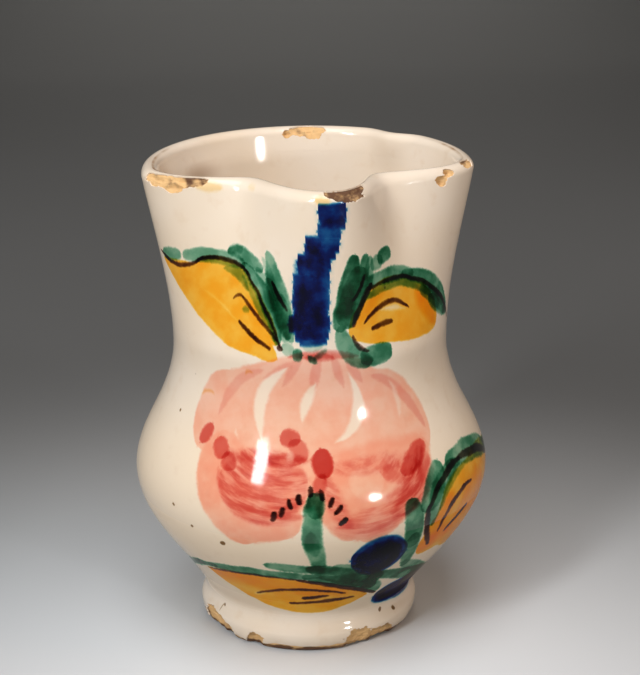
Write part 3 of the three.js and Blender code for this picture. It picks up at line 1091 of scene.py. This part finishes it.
thick = sums(spray, "MULTIPLY_ADD", takes["Mottle"], 0.4, 0.8)
yellow = 0.0
for leaf in (LEFT_LEAF, RIGHT_LEAF, LOW_LEAF, SIDE_LEAF):
    yellow = sums(spray, "MAXIMUM", yellow, wash(leaf, 0.5, 0.7, 1.5))
# Bare gaps thin the yellow; the deeper marks thicken it, partly as painted shade.
yellow_depth_and_shade = sums(spray, "MULTIPLY_ADD", pile(BARE_LEAF, 0.8, 0.8), -0.6, thick)
yellow_depth_and_shade = sums(spray, "MULTIPLY_ADD", pile(DEEP_YELLOW_AND_SHADE, 2.5, 1.0), 0.6, yellow_depth_and_shade)
yellow = sums(spray, "MULTIPLY", yellow, yellow_depth_and_shade)
tint = stained((1, 1, 1, 1), yellow, "yellow")

# %% [markdown]
# The fruit is one pale wash with a few places left bare, a second wash on its two lobes,
# and red brushed over it with a nearly dry brush, so that its thickness follows the streaks.
# The dabs at the tips were put down with a full brush and are solid.

# %% Fruit layers
pink = wash(FRUIT + LOBES, 0.8, 0.9, 4.0)
lobes = wash(LOBES, 1.4, 0.9, 4.0)
pink = sums(spray, "MULTIPLY_ADD", lobes, 0.32, pink)
bare = sums(spray, "MINIMUM", pile(BARE, 0.9, 0.8), 1.0)
closed_share = sums(spray, "MULTIPLY_ADD", bare, -0.88, 1.0)
pink = sums(spray, "MULTIPLY", sums(spray, "MULTIPLY", pink, closed_share), thick)
tint = stained(tint, pink, "pink")
red = sums(spray, "MULTIPLY", pile(RED_LEFT, 1.5, 1.0), takes["Left streaks"])
red_right = sums(spray, "MULTIPLY", pile(RED_RIGHT, 1.5, 1.0), takes["Right streaks"])
red = sums(spray, "ADD", sums(spray, "ADD", red, red_right), pile(RED_DABS, 0.7, 0.9))
red = sums(spray, "MULTIPLY", red, closed_share)
tint = stained(tint, red, "red")

# %% [markdown]
# The greens pile up stroke by stroke. The blue is one thick wash of square dabs,
# which bled a little into the white round it, with darker pools on top.

# %% Green, blue and dark layers
patchy = sums(spray, "MULTIPLY_ADD", takes["Mottle"], 0.9, 0.65)
green = sums(spray, "SMOOTH_MIN", pile(GREEN, 0.6, 0.9), 2.0, 0.8)
green = sums(spray, "MULTIPLY", green, patchy)
tint = stained(tint, green, "green")
blue = 0.0
for body in (SPIKE, BERRY, LOW_BERRY):
    edge = joined_edge(body, 0.5)
    layer = sums(spray, "MULTIPLY_ADD", film(edge, 2.6, 0.5), 0.07, film(edge, 0.9, 0.5))
    blue = sums(spray, "ADD", blue, layer)
blue = sums(spray, "ADD", blue, pile(BLUE_POOLS, 1.4, 1.5))
tint = stained(tint, sums(spray, "MULTIPLY", blue, patchy), "blue")
uneven = sums(spray, "MULTIPLY_ADD", takes["Mottle"], 0.6, 0.6)
dark = sums(spray, "MULTIPLY", pile(LINES, 0.45, 0.7), uneven)
tint = stained(tint, dark, "dark")
tint = stained(tint, pile(SPECKS, 0.3, 0.5), "speck")
tint = stained(tint, pile(RUST, 0.9, 0.8), "rust")
give(spray, Tint=tint)
print("painted spray nodes:", len(spray.nodes))

# %% [markdown]
# ## Tin glaze
# The white is never quite even: it is warmer where it lies thin, as on the belly,
# has pinholes and specks, and its surface rolls a little.
# This group gives those to all three coats.

# %% Tin glaze group
CREAM, WARM_CREAM = (0.83, 0.72, 0.6, 1), (0.8, 0.67, 0.525, 1)
BELLY_CREAM, FLECKED_CREAM = (0.81, 0.66, 0.485, 1), (0.76, 0.61, 0.46, 1)
PINHOLE = (0.2, 0.12, 0.06, 1)
glaze_tree, takes = new_group(
    "tin_glaze", {"Where": "vector"}, {"Colour": "colour", "Gloss": "value", "Height": "value"}
)
where = takes["Where"]
slow = grain(glaze_tree, where, 22.0, 3.0)
warm = between(glaze_tree, slow, 0.35, 0.7)
colour = blend_colours(glaze_tree, warm, CREAM, WARM_CREAM)
up = split_axes(glaze_tree, where)["Z"]
rising = between(glaze_tree, up, 0.028, 0.05, 0.0, 0.6)
belly = sums(glaze_tree, "MULTIPLY", rising, between(glaze_tree, up, 0.105, 0.075))
colour = blend_colours(glaze_tree, belly, colour, BELLY_CREAM)
fine = grain(glaze_tree, where, 160.0, 4.0)
flecks = between(glaze_tree, fine, 0.55, 0.75, 0.0, 0.5)
colour = blend_colours(glaze_tree, flecks, colour, FLECKED_CREAM)
cells = glaze_tree.nodes.new("ShaderNodeTexVoronoi")
cells.inputs["Scale"].default_value = 90.0
glaze_tree.links.new(where, cells.inputs["Vector"])
chance = add_node(glaze_tree, "SeparateColor", cells.outputs["Color"])[0]
rare = between(glaze_tree, chance, 0.93, 0.94)
dot = sums(glaze_tree, "MULTIPLY", between(glaze_tree, cells.outputs["Distance"], 0.06, 0.03), rare)
colour = blend_colours(glaze_tree, sums(glaze_tree, "MULTIPLY", dot, 0.75), colour, PINHOLE)
roll = sums(glaze_tree, "MULTIPLY", grain(glaze_tree, where, 38.0, 1.0), 0.7)
peel = sums(glaze_tree, "MULTIPLY_ADD", grain(glaze_tree, where, 420.0, 2.0), 0.05, roll)
height = sums(glaze_tree, "MULTIPLY_ADD", dot, -0.3, peel)
gloss = between(glaze_tree, fine, 0.3, 0.8, 0.07, 0.17)
give(glaze_tree, Colour=colour, Gloss=gloss, Height=height)
print("tin glaze nodes:", len(glaze_tree.nodes))

# %% [markdown]
# The plain coat, inside the mouth and on the handle, is that glaze with two brown marks:
# a thin broken brown line along the lip's inner edge at the front, and two brown patches of painted
# shade just inside the mouth, on the left.
# A patch is: its middle and its reach in metres, and how strong it is.

# %% Plain glaze material
GLAZE_IOR, GLAZE_ROLL = 1.45, 0.35
BROWN = (0.36, 0.2, 0.09, 1)
# Both patches are painted shade, warmed to brown, on the mouth's shaded left side.
INSIDE_SHADE_PATCHES = (
    ((-0.0385, 0.0355, 0.1663), 0.0135, 0.5),
    ((-0.0533, 0.0075, 0.1760), 0.013, 0.35),
)


def new_material(name):
    material = bpy.data.materials.new(name)
    material.use_nodes = True
    tree = material.node_tree
    return material, tree, tree.nodes["Principled BSDF"].inputs


def object_place(tree):
    return add_node(tree, "TexCoord")["Object"]


def bumped(tree, shader, height, distance):
    bump = tree.nodes.new("ShaderNodeBump")
    bump.inputs["Strength"].default_value = 1.0
    bump.inputs["Distance"].default_value = distance * MM
    tree.links.new(height, bump.inputs["Height"])
    tree.links.new(bump.outputs[0], shader["Normal"])


def browned_lip(tree, where, colour):
    """A thin broken brown line along the lip's inner edge at the front."""
    line = between(tree, kept_value(tree, "lip_near"), 9.2, 9.75)
    broken = between(tree, grain(tree, where, 60.0, 3.0), 0.4, 0.56, 0.3, 0.95)
    depth = vector_sums(tree, "DOT_PRODUCT", where, (0.0, 1.0, 0.0))
    front = sums(tree, "MULTIPLY", broken, between(tree, depth, 0.034, 0.012))
    return blend_colours(tree, sums(tree, "MULTIPLY", line, front), colour, BROWN)


def with_inside_painted_shade(tree, where, colour):
    """Two brown patches of painted shade inside the mouth, on the left, wider than they are tall.
    """
    for place, reach, much in INSIDE_SHADE_PATCHES:
        off = vector_sums(tree, "SUBTRACT", where, place)
        off = vector_sums(tree, "MULTIPLY", off, (1.0, 1.0, 2.2))
        share = between(tree, vector_sums(tree, "LENGTH", off), reach, 0.0, 0.0, much)
        colour = blend_colours(tree, share, colour, BROWN)
    return colour


plain_glaze, tree, shader = new_material("plain_tin_glaze")
where = object_place(tree)
coat = use_group(tree, glaze_tree, Where=where)
lip_line_and_painted_shade = with_inside_painted_shade(tree, where, browned_lip(tree, where, coat["Colour"]))
tree.links.new(lip_line_and_painted_shade, shader["Base Color"])
tree.links.new(coat["Gloss"], shader["Roughness"])
shader["IOR"].default_value = GLAZE_IOR
bumped(tree, shader, coat["Height"], GLAZE_ROLL)
print("plain glaze nodes:", len(tree.nodes))

# %% [markdown]
# ## The painted coat
# The outside uses the same glaze with the spray laid on it.
# Object coordinates become an angle and a height, a little shaken by noise,
# so that no edge is ruler straight. The stains sit in the glass, so the gloss stays,
# except on the underside of the belly, which years of washing and dust have dulled.

# %% Painted glaze material
DULL_SHINE = 0.06
painted_glaze, tree, shader = new_material("painted_tin_glaze")
where = object_place(tree)


def bearing_of(x, y):
    return sums(tree, "ARCTAN2", x, sums(tree, "MULTIPLY", y, -1.0))


x, y, up = split_axes(tree, where)
shake = grain(tree, where, 130.0, 1.0, "Color")
drift = vector_sums(tree, "SUBTRACT", shake, (0.5, 0.5, 0.5))
drift = vector_sums(tree, "MULTIPLY", drift, (1.6, 1.6, 0.0))
degrees = sums(tree, "MULTIPLY", bearing_of(x, y), 180 / math.pi)
flat = join_axes(tree, degrees, sums(tree, "MULTIPLY", up, 1 / MM), 1.0)
spot = vector_sums(tree, "ADD", flat, drift)
fray = sums(tree, "SUBTRACT", grain(tree, where, 900.0, 2.0), 0.5)
mottle = between(tree, grain(tree, where, 130.0, 4.0), 0.3, 0.7)


def arc_streaks(x, z):
    """Streaks of a dry brush that swept round the point x, z."""
    off = vector_sums(tree, "SUBTRACT", flat, (x, z, 1.0))
    right, above, _ = split_axes(tree, off)
    bearing = sums(tree, "MULTIPLY", bearing_of(right, above), 7.0)
    swept = join_axes(tree, vector_sums(tree, "LENGTH", off), bearing)
    return between(tree, grain(tree, swept, 0.45, 4.0), 0.34, 0.64, 0.35, 1.45)


paint = use_group(
    tree, spray, Place=spot, Frayed=fray, Mottle=mottle,
    Left_streaks=arc_streaks(-16.0, 108.0), Right_streaks=arc_streaks(10.0, 98.0),
)
coat = use_group(tree, glaze_tree, Where=where)
ground = blend_colours(tree, 1.0, coat["Colour"], paint["Tint"], "MULTIPLY")
tree.links.new(ground, shader["Base Color"])
low = between(tree, up, 0.027, 0.019, 0.0, 0.55)
dusty = sums(tree, "MULTIPLY", low, between(tree, up, 0.0135, 0.0155))
tree.links.new(sums(tree, "MAXIMUM", coat["Gloss"], dusty), shader["Roughness"])
shader["IOR"].default_value = GLAZE_IOR
bumped(tree, shader, coat["Height"], GLAZE_ROLL)
dull_glaze = painted_glaze.copy()
dull_glaze.name = "dull_painted_glaze"
dull_shader = dull_glaze.node_tree.nodes["Principled BSDF"].inputs
dull_shader["Specular IOR Level"].default_value = DULL_SHINE
print("painted glaze nodes:", len(tree.nodes))

# %% [markdown]
# ## Bare earthenware
# Fired earthenware is a dull buff, browner where grease and dust have soaked in.
# Slip is the same clay, a shade darker. Both are quite matt and gritty.

# %% Clay materials
BUFF, BROWN_BUFF, GREASE = (0.86, 0.56, 0.27, 1), (0.62, 0.37, 0.15, 1), (0.13, 0.06, 0.028, 1)
clay_tree, takes = new_group(
    "bare_clay", {"Where": "vector", "Grime": "value"}, {"Colour": "colour", "Height": "value"}
)
where = takes["Where"]
colour = blend_colours(clay_tree, grain(clay_tree, where, 300.0, 4.0), BUFF, BROWN_BUFF)
soak = sums(clay_tree, "ADD", grain(clay_tree, where, 210.0, 3.0), takes["Grime"])
colour = blend_colours(clay_tree, between(clay_tree, soak, 0.55, 0.85), colour, GREASE)
give(clay_tree, Colour=colour, Height=grain(clay_tree, where, 700.0, 5.0))


def clay_material(name, grime, dark_spots=(), darker_below=None):
    material, tree, shader = new_material(name)
    where = object_place(tree)
    if dark_spots:
        broken = kept_value(tree, "broken")
        grime = between(tree, broken, 0.26, 0.03, grime, grime + 0.05)
    for x, y, z, reach, much in dark_spots:
        away = vector_sums(tree, "DISTANCE", where, (x, y, z))
        grime = sums(tree, "ADD", grime, between(tree, away, reach, reach / 2, 0.0, much))
    # Below the given height the clay is made darker towards its bottom edge.
    if darker_below:
        up = split_axes(tree, where)["Z"]
        low = between(tree, up, darker_below, darker_below / 2, 0.0, 0.3)
        grime = sums(tree, "ADD", grime, low)
    clay = use_group(tree, clay_tree, Where=where, Grime=grime)
    tree.links.new(clay["Colour"], shader["Base Color"])
    shader["Roughness"].default_value = 0.85
    bumped(tree, shader, clay["Height"], 0.3)
    return material


SPOUT_GRIME = (0.0105, -0.0475, 0.178, 0.018, 0.33)
SIDE_GRIME = (-0.0425, -0.020, 0.1795, 0.0065, 0.28)
FOOT_GRIME = (-0.033, -0.019, 0.003, 0.006, 0.2)
bare_clay = clay_material("bare_clay", 0.0)
foot_bare = clay_material("foot_clay", 0.0, (FOOT_GRIME,), 0.003)
lip_bare = clay_material("lip_clay", 0.0, (SPOUT_GRIME, SIDE_GRIME))
slip_clay = clay_material("joining_slip", 0.06)

# %% [markdown]
# ## Dressing the pieces
# New pieces take their material and are tied to the frame: they ride on its root,
# and the CAD nodes they stand for are hidden.
# Inside the lip the outside coat is plain, so those faces use the second slot,
# and the dull underside of the belly uses the third.

# %% Materials and ties
UNDERSIDE_TOP = 57.0
centres = face_centres(outside)
heights = centres[:, 2]
middle_wall = np.array([(wall_radius(z) + inner_radius(z)) / 2 for z in heights])
unpressed = np.hypot(centres[:, 0], centres[:, 1]) + pressed_in(angles_of(centres), heights)
plain = ((unpressed < middle_wall) & (heights > COAT_END - 1)).astype(int)
underside = (heights > FOOT_TOP) & (heights < UNDERSIDE_TOP)
outside.data.polygons.foreach_set("material_index", np.where(underside, 2, plain))
for piece, materials, nodes, slot in (
    (outside, (painted_glaze, plain_glaze, dull_glaze), ("outside_glaze",), "glaze"),
    (inside, (plain_glaze,), ("inside_glaze",), "glaze"),
    (handle, (plain_glaze,), ("handle_glaze",), "glaze"),
    (neck_clay, (lip_bare,), ("neck_wall",), "clay"),
    (belly_clay, (bare_clay,), ("belly_wall",), "clay"),
    (foot_clay, (foot_bare,), ("foot_ring", "foot_slip"), "clay"),
):
    for material in materials:
        piece.data.materials.append(material)
    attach(piece, "root")
    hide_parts(*nodes)
for name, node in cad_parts.items():
    node.data.materials.clear()
    node.data.materials.append(slip_clay if "slip" in name else bare_clay)

# %% [markdown]
# ## Floor and light
# The jug stands on a plain pale sweep, a floor that curves up into a backdrop.
# Its colour is a painted pool of light: pale round the jug, fading out to painted shade, a darker
# grey.
# It is pale where it is seen, itself or in a reflection, but its bounce is kept low,
# so that it does not flood the underside.

# %% Floor
# The middle of the painted pool of light, its pale colour, and the painted shade near and far.
LIGHT_POOL_CENTRE = (-0.008, -0.12, 0.0)
PALE_PAPER, BOUNCE = (0.73, 0.755, 0.785, 1), (0.26, 0.25, 0.235, 1)
NEAR_PAINTED_SHADE, FAR_PAINTED_SHADE = (0.115, 0.117, 0.118, 1), (0.078, 0.079, 0.079, 1)
CLOUDING = (0.45, 0.45, 0.44, 1)
FLOOR_SIZE, BACKDROP_HEIGHT, SWEEP_RADIUS = 4, 3, 1.4
bpy.ops.mesh.primitive_plane_add(size=FLOOR_SIZE, location=(0, 0.4, 0))
floor = bpy.context.object
floor.name = "floor"
bpy.ops.object.transform_apply(location=True)


def select_back_edge():
    """The far edge of the floor, which is also the crease once the backdrop stands on it."""
    corners = [v.co.y > 2 and v.co.z < 0.1 for v in floor.data.vertices]
    chosen = [all(corners[i] for i in line.vertices) for line in floor.data.edges]
    select_only(floor, "EDGE", chosen)


select_back_edge()
extrude((0, 0, BACKDROP_HEIGHT))
leave_edit()
select_back_edge()
bpy.ops.mesh.bevel(offset=SWEEP_RADIUS, segments=24, affect="EDGES")
leave_edit()
smooth(floor, 60)
sweep, tree, shader = new_material("pale_sweep")
where = object_place(tree)
# Painted pool of light: pale near a point in front of the jug, painted shade of darker grey further
# out.
pool = vector_sums(tree, "DISTANCE", where, LIGHT_POOL_CENTRE)
painted_pool_light = sums(tree, "POWER", between(tree, pool, 0.47, 0.03), 1.6)
far = between(tree, pool, 0.55, 1.2)
painted_shade_grey = blend_colours(tree, far, NEAR_PAINTED_SHADE, FAR_PAINTED_SHADE)
paper_with_painted_light = blend_colours(tree, painted_pool_light, painted_shade_grey, PALE_PAPER)
shade = blend_colours(tree, grain(tree, where, 3.0, 4.0), paper_with_painted_light, CLOUDING, "SOFT_LIGHT")
rays = add_node(tree, "LightPath")
seen = sums(tree, "MAXIMUM", rays["Is Camera Ray"], rays["Is Glossy Ray"])
seen = sums(tree, "MAXIMUM", seen, rays["Is Transmission Ray"])
tree.links.new(blend_colours(tree, seen, BOUNCE, shade), shader["Base Color"])
shader["Roughness"].default_value = 0.7
floor.data.materials.append(sweep)
print("floor:", len(floor.data.polygons), "faces")

# %% [markdown]
# A tall softbox at the left front makes the long highlight on the belly, a small one
# at the right makes the two short ones, and one overhead lights the mouth.
# Four cards that no reflection shows, and a faint sky, lift the shadows:
# one in front, one at the left, a warm one at the right and one behind.
# A softbox is: where it stands round the jug and how high, in degrees, how far away,
# its width and height in metres, its watts and its colour.


# %% Lights
def softbox(name, azimuth, elevation, distance, width, height, watts, colour=(1, 1, 1)):
    a, e = math.radians(azimuth), math.radians(elevation)
    aim = Vector((0, 0, 0.09))
    away = Vector((math.sin(a) * math.cos(e), -math.cos(a) * math.cos(e), math.sin(e)))
    bpy.ops.object.light_add(type="AREA", location=aim + away * distance)
    lamp = bpy.context.object
    lamp.name = name
    lamp.rotation_euler = away.to_track_quat("Z", "Y").to_euler()
    lamp.data.shape = "RECTANGLE"
    lamp.data.size = width
    lamp.data.size_y = height
    lamp.data.energy = watts
    lamp.data.color = colour
    return lamp


softbox("key", -42, 33, 1.5, 0.19, 0.6, 11.3)
softbox("small", 34, 10, 1.5, 0.13, 0.1, 4.0)
softbox("over", -15, 72, 1.6, 1.0, 1.0, 15.0)
front_card = softbox("front_card", -22, 4, 1.5, 0.6, 0.6, 2.6, (1, 0.92, 0.8))
left_card = softbox("left_card", -85, 12, 1.5, 0.6, 0.6, 1.6, (1, 0.94, 0.86))
warm_card = softbox("warm_card", 75, 40, 1.5, 0.8, 0.8, 3.2, (1, 0.58, 0.3))
back_card = softbox("back_card", 174, 14, 1.5, 0.6, 0.6, 3.2, (1, 0.96, 0.9))
back_card.visible_camera = False
for card in (front_card, left_card, warm_card, back_card):
    card.visible_glossy = False
scene.world = bpy.data.worlds.new("studio")
scene.world.use_nodes = True
sky = scene.world.node_tree.nodes["Background"]
sky.inputs["Color"].default_value = (1, 0.97, 0.94, 1)
sky.inputs["Strength"].default_value = 0.105
